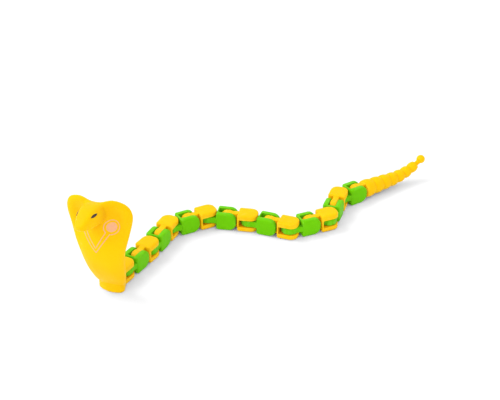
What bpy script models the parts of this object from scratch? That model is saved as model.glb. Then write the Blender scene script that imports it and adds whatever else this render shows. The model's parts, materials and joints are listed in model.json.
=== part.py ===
"""Click-chain toy snake: a cobra head, fifteen identical links and a ribbed tail, hinged end to end."""

import math

import bmesh
import bpy
from mathutils import Matrix, Vector

MM = 0.001

# The chain. Every second hinge has an upright axis, and the ones between have a level axis.
PITCH = 11.0 * MM                       # hinge to hinge
HEAD_HEADING = 60.0                     # degrees, from +X towards +Y, pointing to the tail
PAIR_HEADINGS = (60.0, 66.0, 28.0, -10.0, -20.0, 24.0, 73.0, 34.0)

# The fork, at the tail end of a link: two D-shaped plates joined by a web.
FORK_WIDTH = 9.3 * MM                   # across the plates
FORK_HEIGHT = 9.5 * MM                  # over both plates
PLATE = 2.75 * MM                       # thickness of one plate
WEB = 0.85 * MM
FORK_BACK = 5.72 * MM                   # hinge to the flat back
FORK_FRONT = 4.6 * MM                   # hinge to the front edge
FRONT_CORNER = 3.86 * MM
BACK_CORNER = 0.9 * MM
EDGE = 0.5 * MM                         # broken outer edges
SLOT = FORK_HEIGHT - 2 * PLATE

# The tongue, at the head end of a link, turns inside the fork ahead of it.
TONGUE_THICK = 3.4 * MM
TONGUE_RADIUS = 4.4 * MM
NECK_HALF = 3.9 * MM
NECK_FLARE = 0.3 * MM                   # how much taller the neck is where it joins the fork
NECK_FLARE_LONG = 1.2 * MM
BOSS_ROOT = 1.8 * MM
BOSS_TIP = 1.4 * MM
BOSS_HEIGHT = 0.9 * MM
DIMPLE_RADIUS = 2.1 * MM
DIMPLE_DEPTH = 0.9 * MM

# The click: a rib on the web rides over notches in the tongue's rim.
CLICK_RIB = 0.3 * MM
CLICK_STEP = 45                         # degrees from notch to notch
NOTCH_DEPTH = 0.2 * MM
RIM_STEPS = 16                          # rim points over the notched half circle

# The head, as (forward, across, up) from the foot of its hinge axis.
BASE_FRONT = 14.3 * MM
BASE_HALF = 7.2 * MM
BASE_HEIGHT = 7.5 * MM
NECK_FOOT = 4.0 * MM
HOOD_TURN = 7.0                         # degrees, hood about the hinge axis
HEAD_LEAN = 3.5                         # degrees, sideways
HOOD_CENTRE_UP = 34.0 * MM
HOOD_OUTLINE = (                        # right half, foot to crown: (across, up) in mm
    (0.0, 3.0), (6.3, 4.5), (8.6, 9.5), (10.2, 17.0), (12.0, 26.0), (15.1, 36.0),
    (17.4, 46.0), (15.0, 52.0), (8.4, 54.4), (0.0, 52.6),
)
HOOD_SPINE = (                          # (up, forward) of the middle surface, mm
    (3.0, 11.6), (9.0, 14.3), (17.0, 17.2), (28.0, 19.2), (40.0, 18.8), (58.0, 18.6),
)
HOOD_HALF_THICK = ((3.0, 3.6), (15.0, 4.4), (28.0, 4.2), (40.0, 3.4), (58.0, 2.2))   # (up, half) mm
HOOD_SWEEP = 0.010 / MM                 # how fast the lobes sweep back, 1/m
CUP_DEPTH = 1.3 * MM
CUP_ACROSS, CUP_UP = 10.0 * MM, 44.0 * MM
CUP_WIDE, CUP_TALL = 5.0 * MM, 9.0 * MM
SNOUT_STATIONS = (                      # (forward, half width, underside, top) mm
    (16.0, 5.0, 44.6, 51.4), (18.6, 5.8, 44.0, 52.4), (21.2, 6.1, 43.8, 53.0), (24.4, 5.9, 43.8, 53.2),
    (27.4, 5.4, 43.9, 52.9), (30.2, 4.7, 44.0, 52.0), (33.0, 3.7, 44.4, 50.6), (35.4, 2.6, 45.2, 49.2),
    (36.8, 1.4, 46.0, 48.2),
)
SNOUT_SQUARE = 2.4                      # exponent of the snout's rounded section

# The tail, measured along the chain from its hinge.
TAIL_START = 5.3 * MM
TAIL_ROOT = 4.1 * MM                    # radius where the tail starts
TAIL_RIBS = 7
FIRST_RIB = 5.95 * MM
RIB_SHRINK = 0.948
RIB_DEEP = 0.07                         # first groove's depth as a share of the radius
RIB_DEEPER = 0.016                      # how much deeper each next groove is
TAIL_RADIUS = 5.55 * MM                  # at the hinge, before it tapers
TAIL_TAPER = 0.068
TAIL_FLAT = 0.95                        # height of a rib over its width
TAIL_LIFT_FROM = 21.5 * MM
TAIL_LIFT = 6.2 * MM
TAIL_LIFT_POWER = 2.5
NECK_RADIUS = 1.25 * MM
BALL_RADIUS = 2.35 * MM
BALL_AT = 44.6 * MM
TAIL_SIDES = 16

YELLOW = (1.0, 0.72, 0.0, 1.0)
GREEN = (0.19, 0.62, 0.0, 1.0)


def clear_scene():
    for thing in list(bpy.data.objects):
        bpy.data.objects.remove(thing, do_unlink=True)


def plastic(name, colour):
    material = bpy.data.materials.new(name)
    material.use_nodes = True
    shader = material.node_tree.nodes["Principled BSDF"]
    shader.inputs["Base Color"].default_value = colour
    shader.inputs["Roughness"].default_value = 0.45
    shader.inputs["Metallic"].default_value = 0.0
    material.diffuse_color = colour
    return material


def arc(centre, radius, start, end, steps):
    """Points of an arc, both ends included, angles in degrees."""
    points = []
    for step in range(steps + 1):
        angle = math.radians(start + (end - start) * step / steps)
        points.append((centre[0] + radius * math.cos(angle), centre[1] + radius * math.sin(angle)))
    return points


def interpolate(table, at):
    """Straight-line reading of a table of (place, value) rows in millimetres."""
    at = at / MM
    if at <= table[0][0]:
        return table[0][1] * MM
    for (low, first), (high, second) in zip(table, table[1:]):
        if at <= high:
            return (first + (second - first) * (at - low) / (high - low)) * MM
    return table[-1][1] * MM


def prism(outline, low, high):
    """A bmesh solid: the outline in X and Y, between two heights."""
    solid = bmesh.new()
    bottom = [solid.verts.new((x, y, low)) for x, y in outline]
    top = [solid.verts.new((x, y, high)) for x, y in outline]
    solid.faces.new(list(reversed(bottom)))
    solid.faces.new(top)
    for i in range(len(outline)):
        j = (i + 1) % len(outline)
        solid.faces.new((bottom[i], bottom[j], top[j], top[i]))
    bmesh.ops.recalc_face_normals(solid, faces=solid.faces)
    return solid


def loft(rings):
    """A bmesh solid through rings of equal length, closed by a fan at each end."""
    solid = bmesh.new()
    loops = [[solid.verts.new(point) for point in ring] for ring in rings]
    count = len(loops[0])
    for first, second in zip(loops, loops[1:]):
        for i in range(count):
            j = (i + 1) % count
            solid.faces.new((first[i], first[j], second[j], second[i]))
    for ring in (loops[0], loops[-1]):
        middle = solid.verts.new(sum((vert.co for vert in ring), Vector()) / count)
        for i in range(count):
            solid.faces.new((ring[i], ring[(i + 1) % count], middle))
    bmesh.ops.recalc_face_normals(solid, faces=solid.faces)
    return solid


def box(low, high):
    solid = bmesh.new()
    bmesh.ops.create_cube(solid, size=1.0)
    for vert in solid.verts:
        vert.co = [low[i] + (vert.co[i] + 0.5) * (high[i] - low[i]) for i in range(3)]
    return solid


def cone(radius_low, radius_high, low, high, sides, at_x=0.0):
    """An upright cone or cylinder on the Z axis, moved along X."""
    solid = bmesh.new()
    place = Matrix.Translation((at_x, 0.0, (low + high) / 2))
    bmesh.ops.create_cone(
        solid, cap_ends=True, segments=sides, radius1=radius_low, radius2=radius_high,
        depth=high - low, matrix=place,
    )
    return solid


def new_object(name, solid, turn=None):
    mesh = bpy.data.meshes.new(name)
    if turn is not None:
        bmesh.ops.transform(solid, matrix=turn, verts=solid.verts)
    solid.to_mesh(mesh)
    solid.free()
    thing = bpy.data.objects.new(name, mesh)
    bpy.context.scene.collection.objects.link(thing)
    return thing


def combine(thing, other, operation):
    """Adds a Boolean to thing, and hides the other shape."""
    boolean = thing.modifiers.new(other.name, "BOOLEAN")
    boolean.operation = operation
    boolean.object = other
    boolean.solver = "EXACT"
    other.hide_render = True
    other.display_type = "WIRE"


def round_edges(thing, width, angle, segments=1):
    bevel = thing.modifiers.new("edges", "BEVEL")
    bevel.width = width
    bevel.segments = segments
    bevel.limit_method = "ANGLE"
    bevel.angle_limit = math.radians(angle)


def baked(thing):
    """The mesh of thing with its modifiers applied. The helpers that made it are removed."""
    graph = bpy.context.evaluated_depsgraph_get()
    mesh = bpy.data.meshes.new_from_object(thing.evaluated_get(graph))
    helpers = [modifier.object for modifier in thing.modifiers if modifier.type == "BOOLEAN"]
    for helper in helpers + [thing]:
        bpy.data.objects.remove(helper, do_unlink=True)
    mesh.set_sharp_from_angle(angle=math.radians(35))
    return mesh


def fork_outline():
    """The D of a plate, with the hinge at the origin and the flat back towards -X."""
    half = FORK_WIDTH / 2
    side = half - FRONT_CORNER
    inner = half - BACK_CORNER
    return (
        arc((FORK_FRONT - FRONT_CORNER, -side), FRONT_CORNER, -90, 0, 5)
        + arc((FORK_FRONT - FRONT_CORNER, side), FRONT_CORNER, 0, 90, 5)
        + arc((BACK_CORNER - FORK_BACK, inner), BACK_CORNER, 90, 180, 2)
        + arc((BACK_CORNER - FORK_BACK, -inner), BACK_CORNER, 180, 270, 2)
    )


def tongue_outline():
    """The tongue's side view: a notched disc on the hinge, and a neck that runs into the fork."""
    rim = []
    opening = math.degrees(math.asin(NECK_HALF / TONGUE_RADIUS))
    for step in range(RIM_STEPS + 1):
        angle = 90 + 180 * step / RIM_STEPS
        notched = (angle - 90) % CLICK_STEP == 0
        reach = TONGUE_RADIUS - (NOTCH_DEPTH if notched else 0.0)
        rim.append((reach * math.cos(math.radians(angle)), reach * math.sin(math.radians(angle))))
    root = PITCH - FORK_BACK + WEB / 2
    flare = NECK_HALF + NECK_FLARE
    lower = arc((0.0, 0.0), TONGUE_RADIUS, 285, 360 - opening, 2)
    upper = arc((0.0, 0.0), TONGUE_RADIUS, opening, 75, 2)
    waist = PITCH - FORK_BACK - NECK_FLARE_LONG
    return (
        rim + lower + [(waist, -NECK_HALF), (root - WEB / 2, -flare), (root, -flare)]
        + [(root, flare), (root - WEB / 2, flare), (waist, NECK_HALF)] + upper
    )


def fork_object(name, hinge_x):
    """A fork block with its slot, its dimples and its click rib, the hinge at hinge_x."""
    outline = [(x + hinge_x, y) for x, y in fork_outline()]
    fork = new_object(name, prism(outline, -FORK_HEIGHT / 2, FORK_HEIGHT / 2))
    round_edges(fork, EDGE, 50)
    slot_from = hinge_x - FORK_BACK + WEB
    slot = box((slot_from, -FORK_WIDTH, -SLOT / 2), (hinge_x + FORK_WIDTH, FORK_WIDTH, SLOT / 2))
    combine(fork, new_object(name + "_slot", slot), "DIFFERENCE")
    reach = SLOT / 2 + DIMPLE_DEPTH
    dimples = cone(DIMPLE_RADIUS, DIMPLE_RADIUS, -reach, reach, 12, hinge_x)
    combine(fork, new_object(name + "_dimples", dimples), "DIFFERENCE")
    rib_half = SLOT / 2 + PLATE / 4
    rib = cone(CLICK_RIB, CLICK_RIB, -rib_half, rib_half, 8, slot_from)
    combine(fork, new_object(name + "_rib", rib), "UNION")
    return fork


def add_tongue(thing):
    """Joins the tongue and its two bosses to thing, the hinge at the origin and its axis level."""
    lay_over = Matrix.Rotation(math.radians(90), 4, "X")
    half = TONGUE_THICK / 2
    tongue = new_object(thing.name + "_tongue", prism(tongue_outline(), -half, half), lay_over)
    combine(thing, tongue, "UNION")
    for side in (-1, 1):
        turn = Matrix.Rotation(math.radians(-90 * side), 4, "X")
        boss = cone(BOSS_ROOT, BOSS_TIP, half - 0.3 * MM, half + BOSS_HEIGHT, 10)
        combine(thing, new_object(f"{thing.name}_boss_{side}", boss, turn), "UNION")


def link_mesh():
    """One link: its tongue hinge at the origin, its fork hinge one pitch along +X."""
    link = fork_object("link", PITCH)
    add_tongue(link)
    return baked(link)


def head_point(forward, across, up):
    """From the head's own directions to its object's axes: +X to the tail, +Z up, hinge at half height."""
    return Vector((-forward, -across, up - FORK_HEIGHT / 2))


def leaned(forward, across, up):
    """A point of the head above its foot, after the hood's sideways lean and its turn."""
    lean = math.radians(HEAD_LEAN)
    rise = up - NECK_FOOT
    side = across * math.cos(lean) - rise * math.sin(lean)
    height = NECK_FOOT + across * math.sin(lean) + rise * math.cos(lean)
    return Matrix.Rotation(math.radians(HOOD_TURN), 3, "Z") @ head_point(forward, side, height)


def smooth_loop(points, per_span):
    """A closed Catmull-Rom curve through the points."""
    curve = []
    count = len(points)
    for i in range(count):
        before, start, end, after = (Vector(points[(i + k) % count]) for k in (-1, 0, 1, 2))
        for step in range(per_span):
            t = step / per_span
            curve.append(
                0.5 * (2 * start + (end - before) * t + (2 * before - 5 * start + 4 * end - after) * t * t
                       + (3 * start - before - 3 * end + after) * t ** 3)
            )
    return curve


def hood_middle(across, up):
    """How far forward the hood's middle surface is, swept back to the sides."""
    return interpolate(HOOD_SPINE, up) - HOOD_SWEEP * across * across


def cup(across, up):
    """The shallow dish in the front of each lobe."""
    wide = (abs(across) - CUP_ACROSS) / CUP_WIDE
    tall = (up - CUP_UP) / CUP_TALL
    return CUP_DEPTH * math.exp(-wide * wide - tall * tall)


def hood_solid():
    """Neck and hood: one crowned shell inside the front outline, thick in the middle, round at its edge."""
    right = [(x * MM, z * MM) for x, z in HOOD_OUTLINE]
    left = [(-x, z) for x, z in reversed(right[1:-1])]
    outline = smooth_loop(right + left, 2)
    layers = (0.30, 0.58, 0.80, 0.93, 0.99)
    rings = []
    for side, order in ((1, layers), (-1, tuple(reversed(layers)))):
        for share in order:
            ring = []
            for across, up in outline:
                x = across * share
                z = HOOD_CENTRE_UP + (up - HOOD_CENTRE_UP) * share
                thick = interpolate(HOOD_HALF_THICK, z) * math.sqrt(1 - share ** 3)
                dish = cup(x, z) if side > 0 else 0.4 * cup(x, z)
                ring.append(leaned(hood_middle(x, z) + side * thick - dish, x, z))
            rings.append(ring)
    return loft(rings)


def snout_solid():
    """The head proper: a broad wedge over the hood, its tip forward and down."""
    rings = []
    for forward, half, low, high in SNOUT_STATIONS:
        middle, tall = (low + high) / 2 * MM, (high - low) / 2 * MM
        ring = []
        for step in range(20):
            angle = math.radians(18 * step)
            c, s = math.cos(angle), math.sin(angle)
            reach = (abs(c) ** SNOUT_SQUARE + abs(s) ** SNOUT_SQUARE) ** (-1 / SNOUT_SQUARE)
            ring.append(leaned(forward * MM, half * MM * reach * c, middle + tall * reach * s))
        rings.append(ring)
    return loft(rings)


def base_solid():
    """The foot block in front of the fork: it widens forward to a bowed front face."""
    half = FORK_WIDTH / 2
    back = FORK_BACK - WEB / 2
    front = [(BASE_FRONT - 0.045 / MM * y * y, y) for y in (-6.2 * MM, -3.2 * MM, 0.0, 3.2 * MM, 6.2 * MM)]
    outline = [(back, -half), (BASE_FRONT - 4 * MM, -BASE_HALF)] + front
    outline += [(BASE_FRONT - 4 * MM, BASE_HALF), (back, half)]
    solid = prism(outline, 0.0, BASE_HEIGHT)
    for vert in solid.verts:
        vert.co = head_point(vert.co.x, vert.co.y, vert.co.z)
    bmesh.ops.recalc_face_normals(solid, faces=solid.faces)
    return solid


def head_mesh():
    """The head, its fork hinge at the origin."""
    head = fork_object("head_fork", 0.0)
    base = new_object("head_base", base_solid())
    round_edges(base, EDGE, 50)
    combine(head, base, "UNION")
    combine(head, new_object("head_hood", hood_solid()), "UNION")
    combine(head, new_object("head_snout", snout_solid()), "UNION")
    return baked(head)


def tail_height(along):
    """Height of the tail's centre line over the hinge: it lies flat, then curls up."""
    if along <= TAIL_LIFT_FROM:
        return 0.0
    share = (along - TAIL_LIFT_FROM) / (BALL_AT - TAIL_LIFT_FROM)
    return TAIL_LIFT * share ** TAIL_LIFT_POWER


def tail_stations():
    """(distance along, radius) down the ribs, the neck and the ball."""
    stations = [(TAIL_START, TAIL_ROOT)]
    start, length = TAIL_START, FIRST_RIB
    for rib in range(TAIL_RIBS):
        for share in ((0.14, 0.3, 0.5, 0.78) if rib == 0 else (0.0, 0.22, 0.5, 0.78)):
            along = start + length * share
            groove = (RIB_DEEP + RIB_DEEPER * rib) * (1 - math.sin(math.pi * share))
            stations.append((along, (TAIL_RADIUS - TAIL_TAPER * along) * (1 - groove)))
        start += length
        length *= RIB_SHRINK
    stations.append((start, 1.15 * NECK_RADIUS))
    stations.append((BALL_AT - 0.92 * BALL_RADIUS, NECK_RADIUS))
    for degrees in (130, 100, 70, 40, 15):
        angle = math.radians(degrees)
        stations.append((BALL_AT + BALL_RADIUS * math.cos(angle), BALL_RADIUS * math.sin(angle)))
    return stations


def tail_point(along, side, up):
    """A place on the curled tail. The ball at its end keeps its shape."""
    centre = BALL_AT if along > BALL_AT - BALL_RADIUS else along
    tilt = math.atan((tail_height(centre + MM) - tail_height(centre - MM)) / (2 * MM))
    past = along - centre
    forward = centre + past * math.cos(tilt) - up * math.sin(tilt)
    return forward, side, tail_height(centre) + past * math.sin(tilt) + up * math.cos(tilt)


def tail_solid():
    rings = []
    for along, radius in tail_stations():
        ring = []
        for step in range(TAIL_SIDES):
            angle = 2 * math.pi * step / TAIL_SIDES
            ring.append(tail_point(along, radius * math.cos(angle), radius * TAIL_FLAT * math.sin(angle)))
        rings.append(ring)
    return loft(rings)


def tail_mesh():
    """The tail, its tongue hinge at the origin."""
    tail = new_object("tail_body", tail_solid())
    add_tongue(tail)
    return baked(tail)


def place(name, mesh, material, at, heading, on_its_side):
    """A piece of the chain as its own object, its origin on the hinge that carries it."""
    thing = bpy.data.objects.new(name, mesh)
    bpy.context.scene.collection.objects.link(thing)
    if not mesh.materials:
        mesh.materials.append(None)
    thing.material_slots[0].link = "OBJECT"
    thing.material_slots[0].material = material
    roll = Matrix.Rotation(math.radians(90 if on_its_side else 0), 4, "X")
    turn = Matrix.Rotation(math.radians(heading), 4, "Z")
    thing.matrix_world = Matrix.Translation(at) @ turn @ roll
    return thing


def build_chain():
    yellow, green = plastic("yellow_plastic", YELLOW), plastic("green_plastic", GREEN)
    link = link_mesh()
    hinge = Vector((0.0, 0.0, FORK_HEIGHT / 2))
    pieces = [place("head", head_mesh(), yellow, hinge, HEAD_HEADING, False)]
    last = len(PAIR_HEADINGS)
    for pair, heading in enumerate(PAIR_HEADINGS, start=1):
        step = PITCH * Vector((math.cos(math.radians(heading)), math.sin(math.radians(heading)), 0.0))
        pieces.append(place(f"green_link_{pair}", link, green, hinge, heading, True))
        hinge = hinge + step
        if pair < last:
            pieces.append(place(f"yellow_link_{pair}", link, yellow, hinge, heading, False))
            hinge = hinge + step
        else:
            pieces.append(place("tail", tail_mesh(), yellow, hinge, heading, False))
    return pieces


def centre_on_floor(pieces):
    """Moves the whole snake so that the middle of its underside is the origin."""
    bpy.context.view_layer.update()
    corners = [piece.matrix_world @ vert.co for piece in pieces for vert in piece.data.vertices]
    low = [min(corner[i] for corner in corners) for i in range(3)]
    high = [max(corner[i] for corner in corners) for i in range(3)]
    shift = Matrix.Translation((-(low[0] + high[0]) / 2, -(low[1] + high[1]) / 2, -low[2]))
    for piece in pieces:
        piece.matrix_world = shift @ piece.matrix_world


clear_scene()
centre_on_floor(build_chain())
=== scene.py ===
"""Click-chain toy cobra: the moulded head, fifteen click links and a ribbed tail, in a studio."""

import json
import logging
import math
from collections.abc import Callable, Iterator
from contextlib import contextmanager
from dataclasses import dataclass, field, replace
from enum import Enum

import bmesh
import bpy
from mathutils import Matrix, Vector


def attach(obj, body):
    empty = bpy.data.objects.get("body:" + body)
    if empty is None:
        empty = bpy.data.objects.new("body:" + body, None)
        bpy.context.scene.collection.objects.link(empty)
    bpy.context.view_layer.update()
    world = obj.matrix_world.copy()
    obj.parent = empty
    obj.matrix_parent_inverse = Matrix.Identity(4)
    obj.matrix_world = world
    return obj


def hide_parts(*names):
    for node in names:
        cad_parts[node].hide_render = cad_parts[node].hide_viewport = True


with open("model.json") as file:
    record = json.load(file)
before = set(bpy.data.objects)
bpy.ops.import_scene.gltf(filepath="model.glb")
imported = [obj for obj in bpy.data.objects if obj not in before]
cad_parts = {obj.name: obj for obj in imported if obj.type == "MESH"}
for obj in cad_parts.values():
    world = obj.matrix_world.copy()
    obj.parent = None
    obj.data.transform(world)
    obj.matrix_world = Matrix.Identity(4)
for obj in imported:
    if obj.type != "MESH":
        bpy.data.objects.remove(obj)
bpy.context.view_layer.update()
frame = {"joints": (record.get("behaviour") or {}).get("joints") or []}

MM = 0.001
TINY = 0.01 * MM
ORIGIN = (0.0, 0.0, 0.0)
BOUNCE_GREY = (0.5, 0.5, 0.5, 1.0)
LOG = logging.getLogger("cobra")

Table = tuple[tuple[float, ...], ...]
Piece = bpy.types.Object
Element = bmesh.types.BMVert | bmesh.types.BMEdge | bmesh.types.BMFace
Socket = bpy.types.NodeSocket
Triple = tuple[float, float, float]
Colour = tuple[float, float, float, float]


# ---------------------------------------------------------------- modelling tools


def deselect_all() -> None:
    """Clears the selection, so that an operator acts on nothing by accident."""
    bpy.ops.object.select_all(action="DESELECT")


def make_active(piece: Piece) -> None:
    """Leaves only this piece selected and active."""
    deselect_all()
    piece.select_set(True)
    bpy.context.view_layer.objects.active = piece


@contextmanager
def editing(piece: Piece, mode: str = "EDGE") -> Iterator[None]:
    """Edit mode on one piece, with nothing selected at the start.

    Args:
        piece: the mesh object to edit.
        mode: the kind of element selected, VERT, EDGE or FACE.
    """
    make_active(piece)
    bpy.ops.object.mode_set(mode="EDIT")
    bpy.ops.mesh.select_mode(type=mode)
    bpy.ops.mesh.select_all(action="DESELECT")
    yield
    bpy.ops.object.mode_set(mode="OBJECT")


def pick(kind: str, wanted: Callable[[Element], bool]) -> None:
    """Selects what is wanted among the verts, edges or faces of the mesh being edited."""
    shape = bmesh.from_edit_mesh(bpy.context.edit_object.data)
    for item in getattr(shape, kind):
        item.select = wanted(item)
    shape.select_flush_mode()
    bmesh.update_edit_mesh(bpy.context.edit_object.data)


def pick_edges(test: Callable[[Vector, Vector], bool], sharper_than: float = 0.0) -> None:
    """Selects edges by their two ends.

    Args:
        test: told both ends of an edge, says whether it is wanted.
        sharper_than: the least angle between the edge's two faces, in degrees.
    """
    least = math.radians(sharper_than)
    pick("edges", lambda edge: edge.calc_face_angle(0.0) >= least and test(*(v.co for v in edge.verts)))


def pick_faces(test: Callable[[Vector, Vector], bool]) -> None:
    """Selects the faces whose middle and normal pass the test, in the mesh being edited."""
    pick("faces", lambda face: test(face.calc_center_median(), face.normal))


def push(step: Triple, grow: Triple, about: Triple = ORIGIN) -> None:
    """Extrudes the selected faces by a step, then resizes them about a point."""
    bpy.ops.mesh.extrude_region_move(TRANSFORM_OT_translate={"value": step})
    bpy.ops.transform.resize(value=grow, center_override=about)


def named(name: str) -> Piece:
    """The object that the last operator added, now with its name."""
    piece = bpy.context.active_object
    piece.name = name
    return piece


def put_in_scene(name: str, data: bpy.types.ID) -> Piece:
    """Makes an object of a mesh, a light or a camera, in the scene."""
    piece = bpy.data.objects.new(name, data)
    bpy.context.scene.collection.objects.link(piece)
    return piece


def stand(name: str, data: bpy.types.ID, place: Vector, away: Vector) -> Piece:
    """Puts a light or a camera at a place, looking against a direction."""
    holder = put_in_scene(name, data)
    holder.location = place
    holder.rotation_euler = (-away).to_track_quat("-Z", "Y").to_euler()
    return holder


def ball(name: str, segments: int, rings: int) -> Piece:
    """Adds a ball of radius 1, to be drawn out to a shape."""
    deselect_all()
    bpy.ops.mesh.primitive_uv_sphere_add(segments=segments, ring_count=rings, radius=1.0)
    return named(name)


def block(name: str, low: Vector, high: Vector) -> Piece:
    """Adds a cube that fills the box between two corners."""
    deselect_all()
    bpy.ops.mesh.primitive_cube_add(size=1.0, location=(low + high) / 2)
    piece = named(name)
    piece.scale = high - low
    bpy.ops.object.transform_apply(location=True, rotation=True, scale=True)
    return piece


def drum(
    name: str, radii: tuple[float, float], ends: tuple[float, float], sides: int, axis: str = "Z",
    at_x: float = 0.0,
) -> Piece:
    """Adds a cylinder or a cone.

    Args:
        name: the new object's name.
        radii: radius at the first and at the second end.
        ends: place of the two ends along the axis.
        sides: number of flat sides.
        axis: Z for upright, Y for level across the chain.
        at_x: how far along the chain the axis stands.

    Returns:
        The new object, its place in its mesh.
    """
    deselect_all()
    bpy.ops.mesh.primitive_cone_add(
        vertices=sides, radius1=radii[0], radius2=radii[1], depth=abs(ends[1] - ends[0]),
    )
    piece = named(name)
    middle, flip = (ends[0] + ends[1]) / 2, ends[1] < ends[0]
    turn = Matrix.Rotation(math.radians(-90 if axis == "Y" else 0), 4, "X")
    over = Matrix.Rotation(math.radians(180 if flip else 0), 4, "X")
    lift = Matrix.Translation((0.0, 0.0, middle))
    piece.data.transform(Matrix.Translation((at_x, 0.0, 0.0)) @ turn @ lift @ over)
    return piece


def apply_modifier(piece: Piece, kind: str, **settings: object) -> None:
    """Adds a modifier with these settings and applies it."""
    modifier = piece.modifiers.new(kind.lower(), kind)
    for name, value in settings.items():
        setattr(modifier, name, value)
    make_active(piece)
    bpy.ops.object.modifier_apply(modifier=modifier.name)


def combine(piece: Piece, other: Piece, operation: str) -> None:
    """Unites or cuts piece with other, which is used up."""
    apply_modifier(piece, "BOOLEAN", operation=operation, object=other, solver="EXACT")
    bpy.data.objects.remove(other, do_unlink=True)


def bevel_edges(width: float, segments: int) -> None:
    """Rounds the selected edges of the mesh being edited."""
    bpy.ops.mesh.bevel(offset=width, segments=segments, affect="EDGES", profile=0.5, clamp_overlap=False)


def clean_up(piece: Piece, crease: float) -> None:
    """Merges doubles, points the faces outwards and shades smooth up to the crease angle in degrees."""
    with editing(piece, "VERT"):
        bpy.ops.mesh.select_all(action="SELECT")
        bpy.ops.mesh.remove_doubles(threshold=0.002 * MM)
        bpy.ops.mesh.normals_make_consistent(inside=False)
    bpy.ops.object.shade_smooth_by_angle(angle=math.radians(crease), keep_sharp_edges=False)


def read_curve(table: Table, at: float, column: int = 1) -> float:
    """Smooth reading of a table of millimetres.

    Args:
        table: rows whose first value rises, in mm.
        at: where to read, in metres.
        column: which value of the row is read.

    Returns:
        The value there in metres, on a curve through the rows.
    """
    x = min(max(at / MM, table[0][0]), table[-1][0])
    row = max(i for i in range(len(table) - 1) if table[i][0] <= x or i == 0)

    def slope(i: int) -> float:
        """Steepness of the curve at row i."""
        before, after = table[max(i - 1, 0)], table[min(i + 1, len(table) - 1)]
        return (after[column] - before[column]) / (after[0] - before[0])

    start, end = table[row], table[row + 1]
    span = end[0] - start[0]
    t = (x - start[0]) / span
    value = (
        (1 + 2 * t) * (1 - t) ** 2 * start[column] + t * (1 - t) ** 2 * span * slope(row)
        + t * t * (3 - 2 * t) * end[column] - t * t * (1 - t) * span * slope(row + 1)
    )
    return value * MM


def on_loop(points: Table, turn: float) -> tuple[float, float]:
    """A place on a closed smooth curve.

    Args:
        points: corners of the curve in mm, in order round it.
        turn: 0 at the first corner, 1 all the way round.

    Returns:
        The two coordinates in metres.
    """
    count = len(points)
    place = (turn % 1.0) * count
    i, t = int(place), place - int(place)
    before, start, end, after = (points[(i + k) % count] for k in (-1, 0, 1, 2))
    return tuple(
        0.5 * MM * (2 * b + (c - a) * t + (2 * a - 5 * b + 4 * c - d) * t * t
                    + (3 * b - a - 3 * c + d) * t ** 3)
        for a, b, c, d in zip(before, start, end, after)
    )


# ---------------------------------------------------------------- shader groups


class Nodes:
    """A small builder for one node tree."""

    def __init__(self, tree: bpy.types.NodeTree) -> None:
        """Keeps the tree and starts a row of nodes."""
        self.tree = tree
        self.count = 0

    def add(self, kind: str, **settings: object) -> bpy.types.Node:
        """Adds a node of this kind with these properties set."""
        node = self.tree.nodes.new(kind)
        node.location = (-200 * (self.count % 6), -220 * (self.count // 6))
        self.count += 1
        for name, value in settings.items():
            setattr(node, name, value)
        return node

    def link(self, start: Socket, end: Socket) -> None:
        """Joins two sockets."""
        self.tree.links.new(start, end)

    def give(self, socket: Socket, value: object) -> None:
        """Joins an output to this input, or sets it to a number or a colour."""
        if isinstance(value, Socket):
            self.link(value, socket)
        else:
            socket.default_value = value

    def fill(self, node: bpy.types.Node, values: dict[str, object]) -> bpy.types.Node:
        """Joins or sets a node's inputs by name and gives the node back."""
        for label, value in values.items():
            self.give(node.inputs[label], value)
        return node

    def where(self) -> Socket:
        """The object coordinates that every pattern is laid on."""
        return self.add("ShaderNodeTexCoord").outputs["Object"]

    def noise(self, where: Socket, scale: float, detail: float) -> Socket:
        """A noise pattern on these coordinates."""
        node = self.add("ShaderNodeTexNoise")
        return self.fill(node, {"Vector": where, "Scale": scale, "Detail": detail}).outputs["Fac"]

    def ramp(self, value: Socket, low: float, high: float | Socket) -> Socket:
        """Stretches low..high to 0..1, smoothly."""
        node = self.add("ShaderNodeMapRange", interpolation_type="SMOOTHSTEP")
        return self.fill(node, {"Value": value, "From Min": low, "From Max": high}).outputs["Result"]

    def math(self, operation: str, first: object, second: object) -> Socket:
        """A sum, product or other operation on sockets or numbers."""
        node = self.add("ShaderNodeMath", operation=operation)
        for socket, value in zip(node.inputs, (first, second)):
            self.give(socket, value)
        return node.outputs[0]

    def mix(self, share: Socket, first: object, second: object) -> Socket:
        """Mixes two colours, each a socket or a tuple."""
        node = self.add("ShaderNodeMix", data_type="RGBA")
        for index, value in ((0, share), (6, first), (7, second)):
            self.give(node.inputs[index], value)
        return node.outputs[2]


def new_group(
    name: str, inputs: dict[str, float], outputs: tuple[str, ...]
) -> tuple[Nodes, dict[str, Socket], dict[str, Socket]]:
    """A shader group with number sockets.

    Args:
        name: the group's name.
        inputs: name and first value of each input.
        outputs: names of the outputs.

    Returns:
        The builder, the input sockets by name, and the output sockets by name.
    """
    tree = bpy.data.node_groups.new(name, "ShaderNodeTree")
    for label, value in inputs.items():
        socket = tree.interface.new_socket(label, in_out="INPUT", socket_type="NodeSocketFloat")
        socket.default_value = value
    for label in outputs:
        tree.interface.new_socket(label, in_out="OUTPUT", socket_type="NodeSocketFloat")
    nodes = Nodes(tree)
    start, end = nodes.add("NodeGroupInput"), nodes.add("NodeGroupOutput")
    return nodes, dict(start.outputs.items()), dict(end.inputs.items())


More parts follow.
